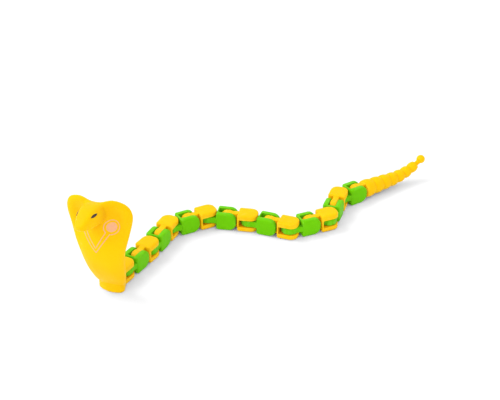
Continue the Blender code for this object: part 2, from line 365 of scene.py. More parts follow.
def moulded_grain() -> bpy.types.NodeTree:
    """Height of a moulded surface: a slow sink-mark wave, an orange peel and a fine grain."""
    nodes, given, result = new_group("moulded_grain", {"Grain": 1.0, "Peel": 1.0}, ("Height",))
    where = nodes.where()
    peel = nodes.noise(where, scale=620.0, detail=2.0)
    grain = nodes.noise(where, scale=4200.0, detail=3.0)
    sink = nodes.noise(where, scale=130.0, detail=1.0)
    rough = nodes.math("MULTIPLY", grain, given["Grain"])
    waves = nodes.math("ADD", peel, nodes.math("MULTIPLY", sink, 2.0))
    waved = nodes.math("MULTIPLY", waves, given["Peel"])
    nodes.link(nodes.math("ADD", nodes.math("MULTIPLY", rough, 0.35), waved), result["Height"])
    return nodes.tree


def rubbed_edges() -> bpy.types.NodeTree:
    """Mask of edges that hands have polished, broken up along their length."""
    nodes, given, result = new_group("rubbed_edges", {"Reach": 0.56}, ("Mask",))
    sharp = nodes.add("ShaderNodeNewGeometry").outputs["Pointiness"]
    where = nodes.where()
    broken = nodes.ramp(nodes.noise(where, scale=380.0, detail=4.0), low=0.35, high=0.65)
    edge = nodes.ramp(sharp, low=0.51, high=given["Reach"])
    nodes.link(nodes.math("MULTIPLY", edge, broken), result["Mask"])
    return nodes.tree


def hollows() -> bpy.types.NodeTree:
    """Mask of a piece's own corners and hollow places, used to paint shade into its base colour, standing
    in for light bounced between walls of the same plastic.
    """
    nodes, given, result = new_group("hollows", {"Depth": 5.0 * MM}, ("Mask",))
    closed = nodes.add("ShaderNodeAmbientOcclusion", samples=8, only_local=True)
    nodes.fill(closed, {"Distance": given["Depth"]})
    open_share = nodes.ramp(closed.outputs["AO"], low=0.3, high=0.97)
    nodes.link(nodes.math("SUBTRACT", 1.0, open_share), result["Mask"])
    return nodes.tree


def handling() -> bpy.types.NodeTree:
    """Masks of finger smudges and of fine settled dust specks."""
    nodes, given, result = new_group("handling", {"Amount": 1.0}, ("Smudge", "Speck"))
    where = nodes.where()
    smudge = nodes.ramp(nodes.noise(where, scale=95.0, detail=5.0), low=0.42, high=0.68)
    nodes.link(nodes.math("MULTIPLY", smudge, given["Amount"]), result["Smudge"])
    cells = nodes.add("ShaderNodeTexVoronoi", feature="DISTANCE_TO_EDGE")
    nodes.fill(cells, {"Vector": where, "Scale": 900.0})
    specks = nodes.ramp(nodes.noise(where, scale=2600.0, detail=2.0), low=0.70, high=0.76)
    fine = nodes.math("MULTIPLY", specks, nodes.ramp(cells.outputs["Distance"], low=0.02, high=0.10))
    nodes.link(nodes.math("MULTIPLY", fine, given["Amount"]), result["Speck"])
    return nodes.tree


class Effects:
    """The shader groups that the finishes share, each made once."""

    def __init__(self) -> None:
        """Makes the four groups."""
        trees = (moulded_grain(), rubbed_edges(), hollows(), handling())
        self.groups = {tree.name: tree for tree in trees}

    def place(self, nodes: Nodes, name: str, **values: float) -> bpy.types.Node:
        """Puts a group in a material's tree, with its own input values."""
        node = nodes.add("ShaderNodeGroup")
        node.node_tree = self.groups[name]
        return nodes.fill(node, values)

    def roughen(
        self, nodes: Nodes, shader: bpy.types.Node, strength: float, depth: float, **grain: float
    ) -> None:
        """Puts the moulded grain on a shader's normal.

        Args:
            nodes: the material's tree.
            shader: its Principled shader.
            strength: share of the bump that shows.
            depth: height of the bump, in metres.
            grain: the grain group's input values.
        """
        height = self.place(nodes, "moulded_grain", **grain).outputs["Height"]
        bump = nodes.add("ShaderNodeBump")
        nodes.fill(bump, {"Strength": strength, "Distance": depth, "Height": height})
        nodes.fill(shader, {"Normal": bump.outputs["Normal"]})


def start_material(name: str, colour: Colour) -> tuple[bpy.types.Material, Nodes, bpy.types.Node]:
    """A new material, the builder of its tree and its Principled shader."""
    material = bpy.data.materials.new(name)
    material.use_nodes = True
    material.diffuse_color = colour
    return material, Nodes(material.node_tree), material.node_tree.nodes["Principled BSDF"]


def scaled(colour: Colour, share: float, lift: float = 0.0) -> Colour:
    """A colour times a share, plus a lift."""
    return tuple(lift + share * c for c in colour[:3]) + (1.0,)


@dataclass(frozen=True)
class MouldedPlastic:
    """Satin injection-moulded plastic, slightly translucent, with painted shade in its own corners and
    dish.
    """

    name: str
    face: Colour
    hollow: Colour
    rubbed: Colour
    roughness: float = 0.42
    glow: float = 0.12
    painted_shade_depth: float = 5.0 * MM
    swirl: float = 0.94
    wear: float = 0.45
    dust: float = 0.35
    polish: float = 0.12
    smear: float = 0.14

    def material(self, effects: Effects) -> bpy.types.Material:
        """Makes the material.

        Args:
            effects: the shared shader groups.

        Returns:
            The material, all its patterns on object coordinates.
        """
        material, nodes, shader = start_material(self.name, self.face)
        where = nodes.where()
        cloud = nodes.ramp(nodes.noise(where, scale=55.0, detail=3.0), low=0.3, high=0.7)
        swirled = nodes.mix(cloud, scaled(self.face, self.swirl), self.face)
        # Painted shade: the base colour turns a deeper, darker colour in the piece's own corners, slot
        # and dish, found by ambient occlusion.
        inside = effects.place(nodes, "hollows", Depth=self.painted_shade_depth).outputs["Mask"]
        shaded = nodes.mix(inside, swirled, self.hollow)
        edges = effects.place(nodes, "rubbed_edges").outputs["Mask"]
        worn = nodes.mix(nodes.math("MULTIPLY", edges, self.wear), shaded, self.rubbed)
        touched = effects.place(nodes, "handling", Amount=0.6)
        specks = nodes.math("MULTIPLY", touched.outputs["Speck"], self.dust)
        dusted = nodes.mix(specks, worn, scaled(self.face, 0.5, lift=0.5))
        bounce = nodes.add("ShaderNodeLightPath").outputs["Is Diffuse Ray"]
        gloss = nodes.math("SUBTRACT", self.roughness, nodes.math("MULTIPLY", edges, self.polish))
        smears = nodes.math("MULTIPLY", touched.outputs["Smudge"], self.smear)
        effects.roughen(nodes, shader, strength=0.55, depth=0.02 * MM, Grain=1.0, Peel=1.0)
        nodes.fill(shader, {
            "Base Color": nodes.mix(bounce, dusted, BOUNCE_GREY),
            "Roughness": nodes.math("ADD", gloss, smears),
            "Subsurface Weight": self.glow, "Subsurface Radius": (1.0, 0.55, 0.1),
            "Subsurface Scale": 1.2 * MM, "IOR": 1.49, "Specular IOR Level": 0.06,
        })
        return material


@dataclass(frozen=True)
class PadPrint:
    """A thin film of printed ink, a little uneven where the pad left it."""

    name: str
    ink: Colour
    thin_ink: Colour
    roughness: float
    coat: float = 0.0
    smear: float = 0.2

    def material(self, effects: Effects) -> bpy.types.Material:
        """Makes the material from the shared shader groups."""
        material, nodes, shader = start_material(self.name, self.ink)
        blotch = nodes.ramp(nodes.noise(nodes.where(), scale=700.0, detail=4.0), low=0.42, high=0.72)
        touched = effects.place(nodes, "handling", Amount=0.4)
        smears = nodes.math("MULTIPLY", touched.outputs["Smudge"], self.smear)
        effects.roughen(nodes, shader, strength=0.4, depth=0.015 * MM, Grain=1.4, Peel=0.5)
        nodes.fill(shader, {
            "Base Color": nodes.mix(blotch, self.ink, self.thin_ink),
            "Roughness": nodes.math("ADD", self.roughness, smears),
            "Coat Weight": self.coat, "Coat Roughness": 0.12,
        })
        return material


# Each moulding gives its face colour, then a darker painted-shade colour for its corners and dish, then a
# lighter worn-edge colour.
YELLOW = MouldedPlastic(
    "yellow_moulding", (1.0, 0.565, 0.0, 1.0), (1.0, 0.32, 0.0, 1.0), (1.0, 0.62, 0.04, 1.0),
)
GREEN = MouldedPlastic(
    "green_moulding", (0.155, 0.585, 0.0, 1.0), (0.09, 0.45, 0.0, 1.0), (0.26, 0.68, 0.05, 1.0),
)
# The hood's finish: the same yellow, with its painted shade reaching deeper so that the dish is darkened.
HOOD_YELLOW = replace(YELLOW, name="yellow_hood_moulding", painted_shade_depth=14.0 * MM)
PEACH_INK = PadPrint("peach_ink", (0.87, 0.42, 0.22, 1.0), (0.92, 0.46, 0.15, 1.0), 0.5)
EYE_INK = PadPrint("eye_ink", (0.010, 0.003, 0.002, 1.0), (0.045, 0.012, 0.006, 1.0), 0.4, 0.2)
FINISHES = (YELLOW, HOOD_YELLOW, GREEN, PEACH_INK, EYE_INK)


class LinkColour(Enum):
    """The two colours that alternate down the chain."""

    YELLOW = "yellow"
    GREEN = "green"

    @property
    def finish(self) -> MouldedPlastic:
        """The plastic of this colour."""
        return YELLOW if self is LinkColour.YELLOW else GREEN

    @property
    def slot(self) -> str:
        """The record's material slot of this colour."""
        return f"{self.value}_plastic"


class Paintbox:
    """Every finish as a material, each made once."""

    def __init__(self) -> None:
        """Makes the shared groups and then the materials."""
        effects = Effects()
        self.made = {finish.name: finish.material(effects) for finish in FINISHES}

    def dress(self, piece: Piece, finish: MouldedPlastic | PadPrint) -> None:
        """Gives a piece one finish all over."""
        piece.data.materials.clear()
        piece.data.materials.append(self.made[finish.name])


# ---------------------------------------------------------------- the chain's hinges


@dataclass
class ChainPlan:
    """Where each piece of the chain sits, read from the frame's joints."""

    hinges: dict[str, Vector] = field(
        default_factory=lambda: {joint["name"]: Vector(joint["pos_m"]) for joint in frame["joints"]}
    )

    @property
    def pairs(self) -> int:
        """How many green links there are, each with a swing and a lift."""
        return len(self.hinges) // 2

    def between(self, start: str, end: str, at: str, on_its_side: bool) -> Matrix:
        """The place of a piece whose +X runs from one hinge towards another.

        Args:
            start: hinge that the direction starts from.
            end: hinge that it points to.
            at: hinge that the piece's origin sits on.
            on_its_side: True for a link rolled a quarter turn about its length.

        Returns:
            The matrix that takes the piece as modelled to its place.
        """
        run = self.hinges[end] - self.hinges[start]
        turn = Matrix.Rotation(math.atan2(run.y, run.x), 4, "Z")
        roll = Matrix.Rotation(math.radians(90 if on_its_side else 0), 4, "X")
        return Matrix.Translation(self.hinges[at]) @ turn @ roll

    def head(self) -> Matrix:
        """The place of the head, its fork hinge at the origin."""
        return self.between("swing_1", "lift_1", "swing_1", False)

    def green(self, pair: int) -> Matrix:
        """The place of a green link, its tongue in the upright fork ahead."""
        return self.between(f"swing_{pair}", f"lift_{pair}", f"swing_{pair}", True)

    def yellow(self, pair: int) -> Matrix:
        """The place of a yellow link, its tongue in the fork of the green one ahead."""
        return self.between(f"lift_{pair}", f"swing_{pair + 1}", f"lift_{pair}", False)

    def tail(self) -> Matrix:
        """The place of the tail, in line with the last green link."""
        last = self.pairs
        return self.between(f"swing_{last}", f"lift_{last}", f"lift_{last}", False)


def settle(piece: Piece, name: str, place: Matrix, body: str) -> Piece:
    """Copies a modelled piece to its place in the chain.

    Args:
        piece: the piece as modelled, about the origin.
        name: the copy's name.
        place: where it goes.
        body: the body it moves with, which is also the node it stands for.

    Returns:
        The copy, with its own mesh and its place in it.
    """
    mesh = piece.data.copy()
    mesh.transform(place)
    copy = put_in_scene(name, mesh)
    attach(copy, body)
    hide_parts(body)
    LOG.info("%s: %d faces on %s", name, len(mesh.polygons), body)
    return copy


# ---------------------------------------------------------------- forks, tongues and links


@dataclass(frozen=True)
class Fork:
    """A block with two D-shaped plates, a web behind them and sockets for the next tongue's bosses."""

    width: float = 9.3 * MM
    height: float = 9.5 * MM
    back: float = 5.72 * MM
    front: float = 4.6 * MM
    plate: float = 2.75 * MM
    web: float = 0.85 * MM
    front_corner: float = 3.86 * MM
    back_corner: float = 0.9 * MM
    shoulder: float = 0.85 * MM
    crown: float = 0.14 * MM
    lip: float = 0.22 * MM
    socket: float = 2.1 * MM
    socket_depth: float = 0.9 * MM
    click_rib: float = 0.3 * MM
    slot_corner: float = 0.3 * MM
    crown_steps: Table = ((0.86, 0.5), (0.8, 0.35), (0.7, 0.15))

    @property
    def slot_half(self) -> float:
        """Half the gap between the plates."""
        return self.height / 2 - self.plate

    def block(self, hinge_x: float) -> Piece:
        """The outer block: a D in plan, round shoulders and slightly crowned plates."""
        half, top = self.width / 2, self.height / 2 - self.crown
        back = hinge_x - self.back
        piece = block("fork", Vector((back, -half, -top)), Vector((hinge_x + self.front, half, top)))
        with editing(piece):
            pick_edges(lambda a, b: abs(a.z - b.z) > top and a.x > hinge_x)
            bevel_edges(self.front_corner, 12)
            pick_edges(lambda a, b: abs(a.z - b.z) > top and a.x < back + TINY)
            bevel_edges(self.back_corner, 4)
            pick_edges(lambda a, b: abs(a.z - b.z) < TINY, sharper_than=60)
            bevel_edges(self.shoulder, 5)
            bpy.ops.mesh.select_mode(type="FACE")
            middle = (hinge_x + (self.front - self.back) / 2, 0.0, 0.0)
            for side in (-1, 1):
                pick_faces(lambda at, normal: side * normal.z > 0.999 and side * at.z > top - TINY)
                for shrink, rise in self.crown_steps:
                    push((0.0, 0.0, side * rise * self.crown), (shrink, shrink, 1.0), middle)
        return piece

    def build(self, hinge_x: float) -> Piece:
        """The whole fork.

        Args:
            hinge_x: how far along the chain its hinge stands.

        Returns:
            One closed body.
        """
        piece = self.block(hinge_x)
        slot_from, gap = hinge_x - self.back + self.web, self.slot_half
        far_corner = Vector((hinge_x + self.width, self.width, gap))
        cutter = block("slot", Vector((slot_from, -self.width, -gap)), far_corner)
        with editing(cutter):
            pick_edges(lambda a, b: max(a.x, b.x) < slot_from + TINY and abs(a.y - b.y) > self.width)
            bevel_edges(self.slot_corner, 3)
        combine(piece, cutter, "DIFFERENCE")
        with editing(piece):
            inside = gap + TINY
            pick_edges(
                lambda a, b: max(abs(a.z), abs(b.z)) < inside and min(a.x, b.x) > slot_from - TINY,
                sharper_than=50,
            )
            bevel_edges(self.lip, 3)
        for name, radius, reach, sides, at_x, operation in (
            ("sockets", self.socket, gap + self.socket_depth, 40, hinge_x, "DIFFERENCE"),
            ("rib", self.click_rib, gap + self.plate / 4, 20, slot_from, "UNION"),
        ):
            combine(piece, drum(name, (radius, radius), (-reach, reach), sides, at_x=at_x), operation)
        return piece


@dataclass(frozen=True)
class Tongue:
    """A notched disc on the hinge, with a boss on each side and a neck to the piece behind."""

    thick: float = 3.4 * MM
    radius: float = 4.4 * MM
    neck_half: float = 3.9 * MM
    neck_flare: float = 0.3 * MM
    flare_long: float = 1.2 * MM
    neck_step: float = 0.12 * MM
    rim: float = 0.4 * MM
    boss_root: float = 1.8 * MM
    boss_tip: float = 1.4 * MM
    boss_height: float = 0.9 * MM
    boss_sunk: float = 0.3 * MM
    boss_edge: float = 0.2 * MM
    notch: float = 0.2 * MM
    notch_until: float = 0.2 * MM
    notch_steps: Table = ((0, 1.0), (1, 0.45))
    sides: int = 64
    notch_every: int = 8
    first_flare: float = 1.015
    neck_overlap: float = 0.4 * MM
    neck_edge: float = 0.35 * MM

    def disc(self) -> Piece:
        """The disc with its notches, its rims rounded."""
        half = self.thick / 2
        piece = drum("disc", (self.radius,) * 2, (-half, half), self.sides, axis="Y")

        def from_notch(place: Vector) -> int:
            """Sides between a rim point and the nearest notch."""
            side = round(math.atan2(place.z, place.x) / (2 * math.pi) * self.sides)
            return min(side % self.notch_every, -side % self.notch_every)

        with editing(piece, "VERT"):
            for steps, share in self.notch_steps:
                pick("verts", lambda vert: vert.co.x < self.notch_until and from_notch(vert.co) == steps)
                shrink = 1 - share * self.notch / self.radius
                bpy.ops.transform.resize(value=(shrink, 1.0, shrink), center_override=ORIGIN)
            bpy.ops.mesh.select_mode(type="EDGE")
            pick_edges(lambda a, b: abs(a.y - b.y) < TINY, sharper_than=60)
            bevel_edges(self.rim, 3)
        return piece

    def neck(self, root: float) -> Piece:
        """The neck, flared where it runs into the piece behind."""
        long, half = self.flare_long, self.thick / 2 - self.neck_step
        far_corner = Vector((root - long, half, self.neck_half))
        piece = block("neck", Vector((0.0, -half, -self.neck_half)), far_corner)
        second_flare = (1 + self.neck_flare / self.neck_half) / self.first_flare
        steps = ((0.4 * long, self.first_flare), (0.6 * long, second_flare), (self.neck_overlap, 1.0))
        with editing(piece, "FACE"):
            for step, grow in steps:
                pick_faces(lambda middle, normal: normal.x > 0.9)
                push((step, 0.0, 0.0), (1.0, 1.0, grow))
            bpy.ops.mesh.select_mode(type="EDGE")
            pick_edges(lambda a, b: abs(a.x - b.x) > 10 * TINY and abs(a.y - b.y) < TINY, sharper_than=60)
            bevel_edges(self.neck_edge, 3)
        return piece

    def add_to(self, piece: Piece, root: float) -> None:
        """Joins the tongue to a piece.

        Args:
            piece: what it belongs to, behind it.
            root: how far behind the hinge that piece starts.
        """
        tongue = self.disc()
        combine(tongue, self.neck(root), "UNION")
        for side in (-1, 1):
            ends = (side * (self.thick / 2 - self.boss_sunk), side * (self.thick / 2 + self.boss_height))
            boss = drum("boss", (self.boss_root, self.boss_tip), ends, 32, axis="Y")
            with editing(boss):
                pick_edges(lambda a, b: min(abs(a.y), abs(b.y)) > abs(ends[1]) - TINY, sharper_than=50)
                bevel_edges(self.boss_edge, 2)
            combine(tongue, boss, "UNION")
        combine(piece, tongue, "UNION")


@dataclass(frozen=True)
class ClickLink:
    """One link of the chain: a tongue at the head end, a fork at the tail end."""

    pitch: float = 11.0 * MM
    fork: Fork = Fork()
    tongue: Tongue = Tongue()

    def model(self) -> Piece:
        """The link once, its tongue hinge at the origin and its fork hinge one pitch along +X."""
        link = self.fork.build(self.pitch)
        self.tongue.add_to(link, self.pitch - self.fork.back)
        clean_up(link, 32)
        return link

    def build(self, plan: ChainPlan, paints: Paintbox) -> None:
        """Copies the link down the chain, green and yellow in turn."""
        pattern = self.model()
        for pair in range(1, plan.pairs + 1):
            for colour, place in ((LinkColour.GREEN, plan.green), (LinkColour.YELLOW, plan.yellow)):
                if pair < plan.pairs or colour is LinkColour.GREEN:
                    name, body = f"click_link_{colour.value}_{pair}", f"{colour.value}_link_{pair}"
                    paints.dress(settle(pattern, name, place(pair), body), colour.finish)
        bpy.data.objects.remove(pattern, do_unlink=True)


# ---------------------------------------------------------------- the head


@dataclass(frozen=True)
class HeadAxes:
    """The head's own directions: forward, across and up from the foot of its hinge axis."""

    hinge_up: float = 4.75 * MM
    foot: float = 4.0 * MM
    turn: float = 7.0
    lean: float = 3.5

    def level(self, forward: float, across: float, up: float) -> Vector:
        """A point of the base, in the head as modelled: +X to the tail, +Z up, hinge at the origin."""
        return Vector((-forward, -across, up - self.hinge_up))

    def leaned(self, forward: float, across: float, up: float) -> Vector:
        """A point of the hood, after its sideways lean and its turn about the hinge."""
        lean = math.radians(self.lean)
        rise = up - self.foot
        side = across * math.cos(lean) - rise * math.sin(lean)
        height = self.foot + across * math.sin(lean) + rise * math.cos(lean)
        return Matrix.Rotation(math.radians(self.turn), 3, "Z") @ self.level(forward, side, height)


@dataclass(frozen=True)
class Hood:
    """The spread neck of the cobra: a dished shell with a round rim."""

    centre_up: float = 34.0 * MM
    sweep: float = 0.010 / MM
    dish_depth: float = 3.2 * MM
    dish_across: float = 9.3 * MM
    dish_up: float = 43.0 * MM
    dish_wide: float = 5.0 * MM
    dish_tall: float = 8.0 * MM
    back_dish: float = 0.25
    rim_steps: int = 180
    outline: Table = (
        (0.0, 3.0), (6.3, 4.5), (8.6, 9.5), (10.2, 17.0), (12.0, 26.0), (15.1, 36.0), (17.4, 46.0),
        (15.0, 52.0), (8.4, 54.4), (0.0, 52.6),
    )
    spine: Table = ((3.0, 11.6), (9.0, 14.3), (17.0, 17.2), (28.0, 19.2), (40.0, 18.8), (58.0, 18.6))
    half_thick: Table = ((3.0, 3.6), (15.0, 4.4), (28.0, 4.2), (40.0, 3.4), (58.0, 2.2))

    @property
    def loop(self) -> Table:
        """The whole outline, right side up and left side down."""
        return self.outline + tuple((-x, z) for x, z in reversed(self.outline[1:-1]))

    def dish(self, across: float, up: float) -> float:
        """Depth of the dish in the front of each lobe."""
        wide = (abs(across) - self.dish_across) / self.dish_wide
        tall = (up - self.dish_up) / self.dish_tall
        return self.dish_depth * math.exp(-wide * wide - tall * tall)

    def surface(self, across: float, up: float, share: float, side: int) -> float:
        """How far forward the front (side 1) or the back (side -1) is.

        Args:
            across: sideways place.
            up: height over the foot.
            share: 0 in the middle of the hood, 1 at its rim.
            side: which face.

        Returns:
            The forward distance.
        """
        middle = read_curve(self.spine, up) - self.sweep * across * across
        thick = read_curve(self.half_thick, up) * math.sqrt(max(0.0, 1 - share ** 3))
        return middle + side * thick - (1.0 if side > 0 else self.back_dish) * self.dish(across, up)

    def share_at(self, across: float, up: float) -> float:
        """How far out from the hood's middle a place is, as a share of the way to the rim."""
        angle = math.atan2(up - self.centre_up, across)
        rim = (on_loop(self.loop, step / self.rim_steps) for step in range(self.rim_steps))
        best = min(
            (abs(math.remainder(math.atan2(rise, x) - angle, 2 * math.pi)), math.hypot(x, rise))
            for x, rise in ((x, z - self.centre_up) for x, z in rim)
        )
        return min(1.0, math.hypot(across, up - self.centre_up) / best[1])

    def build(self, axes: HeadAxes) -> Piece:
        """A ball drawn out to the hood's outline and dished."""
        piece = ball("hood", segments=144, rings=48)
        for vert in piece.data.vertices:
            share = min(1.0, math.hypot(vert.co.x, vert.co.y))
            edge_x, edge_z = on_loop(self.loop, math.atan2(vert.co.y, vert.co.x) / (2 * math.pi))
            across = edge_x * share
            up = self.centre_up + (edge_z - self.centre_up) * share
            side = 1 if vert.co.z >= 0 else -1
            vert.co = axes.leaned(self.surface(across, up, share, side), across, up)
        return piece


@dataclass(frozen=True)
class Snout:
    """The head proper over the hood: a wedge with a flat brow, its tip forward and down."""

    stations: Table = (
        (16.0, 4.6, 44.6, 51.4), (18.6, 5.5, 44.0, 52.4), (21.2, 5.8, 43.9, 53.0),
        (24.4, 5.6, 43.9, 53.1), (27.4, 5.1, 44.2, 52.7), (29.8, 4.4, 44.6, 51.8),
        (32.2, 3.6, 45.0, 50.6), (34.6, 2.7, 45.8, 49.2), (36.2, 1.5, 46.6, 48.4),
    )
    square: float = 3.6
    brow: float = 0.08
    close_fast: float = 14.0

    def section(self, forward: float, angle: float) -> tuple[float, float]:
        """A place on the section at a station.

        Args:
            forward: the station.
            angle: direction from the section's middle, 0 to the side and a quarter turn up.

        Returns:
            Across and up.
        """
        half, low, high = (read_curve(self.stations, forward, column) for column in (1, 2, 3))
        c, s = math.cos(angle), math.sin(angle)
        reach = (abs(c) ** self.square + abs(s) ** self.square) ** (-1 / self.square)
        rise = reach * s
        narrow = 1 - self.brow * (rise + 1) / 2
        return half * narrow * reach * c, (low + high) / 2 + (high - low) / 2 * rise

    def build(self, axes: HeadAxes) -> Piece:
        """A ball drawn out along the wedge."""
        piece = ball("snout", segments=64, rings=60)
        first, last = self.stations[0][0] * MM, self.stations[-1][0] * MM
        for vert in piece.data.vertices:
            along = math.acos(max(-1.0, min(1.0, -vert.co.z))) / math.pi
            forward = first + (last - first) * along
            across, up = self.section(forward, math.atan2(vert.co.y, vert.co.x))
            middle_up = sum(read_curve(self.stations, forward, column) for column in (2, 3)) / 2
            closing = min(1.0, self.close_fast * math.sin(math.pi * along))
            vert.co = axes.leaned(forward, across * closing, middle_up + (up - middle_up) * closing)
        return piece


@dataclass(frozen=True)
class FootBlock:
    """The block under the hood, in front of the fork, with a bowed front."""

    back: float = 5.2 * MM
    back_half: float = 4.65 * MM
    widest: float = 10.3 * MM
    half: float = 7.2 * MM
    front: float = 14.3 * MM
    bow: float = 0.045 / MM
    height: float = 7.5 * MM
    bow_half: float = 6.2 * MM
    slices: tuple[float, ...] = (1.0, 0.85, 0.68, 0.5, 0.3, 0.1)

    def build(self, axes: HeadAxes) -> Piece:
        """The block, widened forwards and bowed by narrowing slices."""
        low = axes.level(self.widest, self.back_half, 0.0)
        piece = block("foot_block", low, axes.level(self.back, -self.back_half, self.height))
        at, width = -self.widest, self.half
        with editing(piece, "FACE"):
            pick_faces(lambda middle, normal: normal.x < -0.9)
            bpy.ops.transform.resize(value=(1.0, width / self.back_half, 1.0), center_override=ORIGIN)
            for share in self.slices:
                half = self.bow_half * share
                place = self.bow * half * half - self.front
                push((place - at, 0.0, 0.0), (1.0, half / width, 1.0))
                at, width = place, half
        return piece


@dataclass(frozen=True)
class HoodPrint:
    """The ink mark on the hood: a V-shaped ribbon in outline, with a ringed spot at each end."""

    line_half: float = 0.2 * MM
    ring: float = 3.4 * MM
    spot: float = 2.3 * MM
    spot_across: float = 7.6 * MM
    spot_up: float = 40.6 * MM
    outer_tip: float = 27.8 * MM
    inner_tip: float = 30.2 * MM
    ribbon: float = 1.0 * MM
    film: float = 0.05 * MM
    thick: float = 0.08 * MM
    step: float = 0.35 * MM
    search_from: float = 0.2 * MM
    around: int = 40
    rings: int = 8

    def outline(self, side: int) -> list[Vector]:
        """The line on one side: up the ribbon's outer edge, round the ring and down the inner edge.

        Args:
            side: 1 or -1.

        Returns:
            Points across and up, a short step apart.
        """
        run = Vector((self.spot_across, self.spot_up - self.outer_tip)).normalized()
        aside = Vector((run.y, -run.x))
        centre = Vector((self.spot_across, self.spot_up))
        back = math.sqrt(self.ring ** 2 - self.ribbon ** 2)
        outer_end = centre - run * back + aside * self.ribbon
        inner_end = centre - run * back - aside * self.ribbon
        points = self.straight(Vector((0.0, self.outer_tip)), outer_end)
        start = math.atan2((outer_end - centre).y, (outer_end - centre).x)
        opening = 2 * math.asin(self.ribbon / self.ring)
        sweep = 2 * math.pi - opening
        steps = int(sweep * self.ring / self.step)
        for k in range(1, steps):
            angle = start + sweep * k / steps
            points.append(centre + self.ring * Vector((math.cos(angle), math.sin(angle))))
        points += self.straight(inner_end, Vector((0.0, self.inner_tip)))
        return [Vector((side * point.x, point.y)) for point in points]

    def straight(self, start: Vector, end: Vector) -> list[Vector]:
        """Points a short step apart from start to end."""
        steps = max(2, int((end - start).length / self.step))
        return [start.lerp(end, k / steps) for k in range(steps + 1)]

    def build(self, head: Piece, hood: Hood, axes: HeadAxes) -> Piece:
        """The film, laid on the hood's front.

        Args:
            head: the finished head, which it lies on.
            hood: the hood's sizes.
            axes: the head's directions.

        Returns:
            The film as one mesh.
        """
        shape = bmesh.new()

        def lay(across: float, up: float) -> bmesh.types.BMVert:
            """A corner of the film on the surface nearest to the hood's front there."""
            share = hood.share_at(across, up)
            ahead = axes.leaned(hood.surface(across, up, share, 1) + self.search_from, across, up)
            _, place, normal, _ = head.closest_point_on_mesh(ahead)
            return shape.verts.new(place + normal * self.film)

        for side in (-1, 1):
            line = self.outline(side)
            rows = []
            for i, point in enumerate(line):
                run = (line[min(i + 1, len(line) - 1)] - line[max(i - 1, 0)]).normalized()
                out = Vector((run.y, -run.x)) * self.line_half
                rows.append([lay(*(point + out * k)) for k in (-1, 0, 1)])
            for first, second in zip(rows, rows[1:]):
                for k in (0, 1):
                    shape.faces.new((first[k], first[k + 1], second[k + 1], second[k]))
            centre = Vector((side * self.spot_across, self.spot_up))
            hub = lay(*centre)
            turns = [2 * math.pi * k / self.around for k in range(self.around)]
            loops = [
                [lay(*(centre + self.spot * ring / self.rings * Vector((math.cos(a), math.sin(a)))))
                 for a in turns]
                for ring in range(1, self.rings + 1)
            ]
            for k in range(self.around):
                nxt = (k + 1) % self.around
                shape.faces.new((hub, loops[0][k], loops[0][nxt]))
                for inner, outer in zip(loops, loops[1:]):
                    shape.faces.new((inner[k], outer[k], outer[nxt], inner[nxt]))
        bmesh.ops.recalc_face_normals(shape, faces=shape.faces)
        mesh = bpy.data.meshes.new("hood_print")
        shape.to_mesh(mesh)
        shape.free()
        piece = put_in_scene("hood_print", mesh)
        self.face_outwards(piece, head)
        apply_modifier(piece, "SOLIDIFY", thickness=self.thick, offset=-1.0)
        bpy.ops.object.shade_smooth_by_angle(angle=math.radians(40))
        return piece

    def face_outwards(self, piece: Piece, head: Piece) -> None:
        """Turns round each face that looks into the head."""
        shape = bmesh.new()
        shape.from_mesh(piece.data)
        for face in shape.faces:
            _, _, normal, _ = head.closest_point_on_mesh(face.calc_center_median())
            if face.normal.dot(normal) < 0:
                face.normal_flip()
        shape.to_mesh(piece.data)
        shape.free()


@dataclass(frozen=True)
class Eye:
    """A slanted dark eye, a low almond dome on the side of the snout."""

    forward: float = 28.1 * MM
    across: float = 5.0 * MM
    up: float = 51.3 * MM
    long: float = 2.2 * MM
    tall: float = 0.65 * MM
    dome: float = 0.2 * MM
    slant: float = -3.0
    pinch: float = 2.2
    blunt: float = 0.35

    def build(self, head: Piece, axes: HeadAxes, side: int) -> Piece:
        """The eye on one side.

        Args:
            head: the finished head, which it sits in.
            axes: the head's directions.
            side: 1 or -1.

        Returns:
            The almond, half sunk in the head.
        """
        start = axes.leaned(self.forward, side * self.across, self.up)
        _, place, normal, _ = head.closest_point_on_mesh(start)
        piece = ball(f"eye_{'left' if side > 0 else 'right'}", segments=48, rings=24)
        backwards = axes.leaned(self.forward - 1.0 * MM, side * self.across, self.up)
        run = backwards - start
        run = (run - normal * run.dot(normal)).normalized()
        upward = normal.cross(run)
        if upward.z < 0:
            upward = -upward
        slant = math.radians(self.slant)
        run, upward = (
            run * math.cos(slant) + upward * math.sin(slant),
            upward * math.cos(slant) - run * math.sin(slant),
        )
        for vert in piece.data.vertices:
            x, y, z = vert.co
            fullness = self.blunt + (1 - self.blunt) * max(0.0, 1 - abs(x) ** self.pinch)
            vert.co = (
                place + run * (x * self.long) + upward * (y * self.tall * fullness)
                + normal * (z * self.dome)
            )
        clean_up(piece, 60)
        return piece


